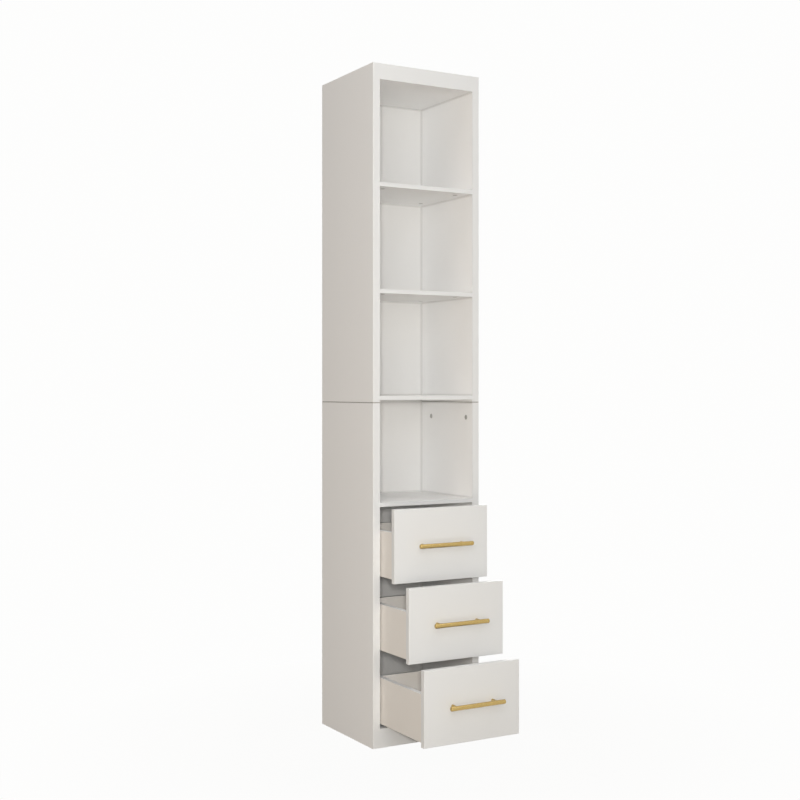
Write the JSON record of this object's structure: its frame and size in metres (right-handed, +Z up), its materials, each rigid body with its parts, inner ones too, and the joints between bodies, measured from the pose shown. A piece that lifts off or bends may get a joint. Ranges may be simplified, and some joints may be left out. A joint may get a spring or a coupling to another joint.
{
  "type": "tall open-shelf cabinet with drawers",
  "caption": "Tall narrow white storage cabinet: open shelf bays over inset drawers that slide out on full-extension undermount runners, with gold T-bar pulls.",
  "frame": {"origin": "on the floor, midway between the sides, in the plane of the carcass's front edges", "axes": "+X to the right seen from the front, +Y to the rear, +Z up"},
  "size_m": [0.368, 0.6154, 2],
  "materials": {
    "carcass_white": "satin white lacquered board",
    "front_white": "satin white lacquered drawer front",
    "drawer_box_white": "white melamine-faced board",
    "back_white": "thin white-faced fibreboard",
    "handle_gold": "satin gold",
    "runner_steel": "zinc-plated sheet",
    "fastener_steel": "zinc-plated",
    "cam_zinc": "die-cast zinc",
    "dowel_wood": "bare beech",
    "clip_plastic": "grey moulded plastic"
  },
  "bodies": {
    "cabinet": {"upper_left_side": "carcass_white", "upper_right_side": "carcass_white", "header_rail": "carcass_white", "top_panel": "carcass_white", "ceiling_panel": "carcass_white", "upper_shelf_1": "carcass_white", "upper_shelf_2": "carcass_white", "upper_bottom_panel": "carcass_white", "upper_rear_rail": "carcass_white", "lower_left_side": "carcass_white", "lower_right_side": "carcass_white", "fixed_shelf": "carcass_white", "bottom_panel": "carcass_white", "front_plinth": "carcass_white", "rear_plinth": "carcass_white", "lower_rear_rail": "carcass_white", "upper_back_panel": "back_white", "lower_back_panel": "back_white", "cam_locks": "cam_zinc", "cam_bolts": "fastener_steel", "module_bolts": "fastener_steel", "dowels": "dowel_wood", "runner_screws": "fastener_steel", "bottom_wall_rails": "runner_steel", "middle_wall_rails": "runner_steel", "top_wall_rails": "runner_steel"},
    "bottom_drawer": {"bottom_drawer_front": "front_white", "bottom_drawer_left_side": "drawer_box_white", "bottom_drawer_right_side": "drawer_box_white", "bottom_drawer_back": "drawer_box_white", "bottom_drawer_bottom": "drawer_box_white", "bottom_drawer_handle_bar": "handle_gold", "bottom_drawer_handle_posts": "handle_gold", "bottom_drawer_handle_screws": "fastener_steel", "bottom_drawer_rails": "runner_steel", "bottom_drawer_clips": "clip_plastic"},
    "bottom_runners": {"bottom_middle_rails": "runner_steel"},
    "middle_drawer": {"middle_drawer_front": "front_white", "middle_drawer_left_side": "drawer_box_white", "middle_drawer_right_side": "drawer_box_white", "middle_drawer_back": "drawer_box_white", "middle_drawer_bottom": "drawer_box_white", "middle_drawer_handle_bar": "handle_gold", "middle_drawer_handle_posts": "handle_gold", "middle_drawer_handle_screws": "fastener_steel", "middle_drawer_rails": "runner_steel", "middle_drawer_clips": "clip_plastic"},
    "middle_runners": {"middle_middle_rails": "runner_steel"},
    "top_drawer": {"top_drawer_front": "front_white", "top_drawer_left_side": "drawer_box_white", "top_drawer_right_side": "drawer_box_white", "top_drawer_back": "drawer_box_white", "top_drawer_bottom": "drawer_box_white", "top_drawer_handle_bar": "handle_gold", "top_drawer_handle_posts": "handle_gold", "top_drawer_handle_screws": "fastener_steel", "top_drawer_rails": "runner_steel", "top_drawer_clips": "clip_plastic"},
    "top_runners": {"top_middle_rails": "runner_steel"}
  },
  "joints": [
    {"name": "bottom_drawer_slide", "type": "slide", "parent": "cabinet", "child": "bottom_drawer", "axis": [0, -1, 0], "range_m": [-0.24786, 0.02214]},
    {"name": "bottom_runner_slide", "type": "slide", "parent": "cabinet", "child": "bottom_runners", "axis": [0, -1, 0], "range_m": [-0.12393, 0.01107]},
    {"name": "middle_drawer_slide", "type": "slide", "parent": "cabinet", "child": "middle_drawer", "axis": [0, -1, 0], "range_m": [-0.16524, 0.10476]},
    {"name": "middle_runner_slide", "type": "slide", "parent": "cabinet", "child": "middle_runners", "axis": [0, -1, 0], "range_m": [-0.08262, 0.05238]},
    {"name": "top_drawer_slide", "type": "slide", "parent": "cabinet", "child": "top_drawer", "axis": [0, -1, 0], "range_m": [-0.08262, 0.18738]},
    {"name": "top_runner_slide", "type": "slide", "parent": "cabinet", "child": "top_runners", "axis": [0, -1, 0], "range_m": [-0.04131, 0.09369]}
  ],
  "couplings": [
    {"joint": "bottom_runner_slide", "follows": "bottom_drawer_slide", "ratio": 0.5},
    {"joint": "middle_runner_slide", "follows": "middle_drawer_slide", "ratio": 0.5},
    {"joint": "top_runner_slide", "follows": "top_drawer_slide", "ratio": 0.5}
  ]
}
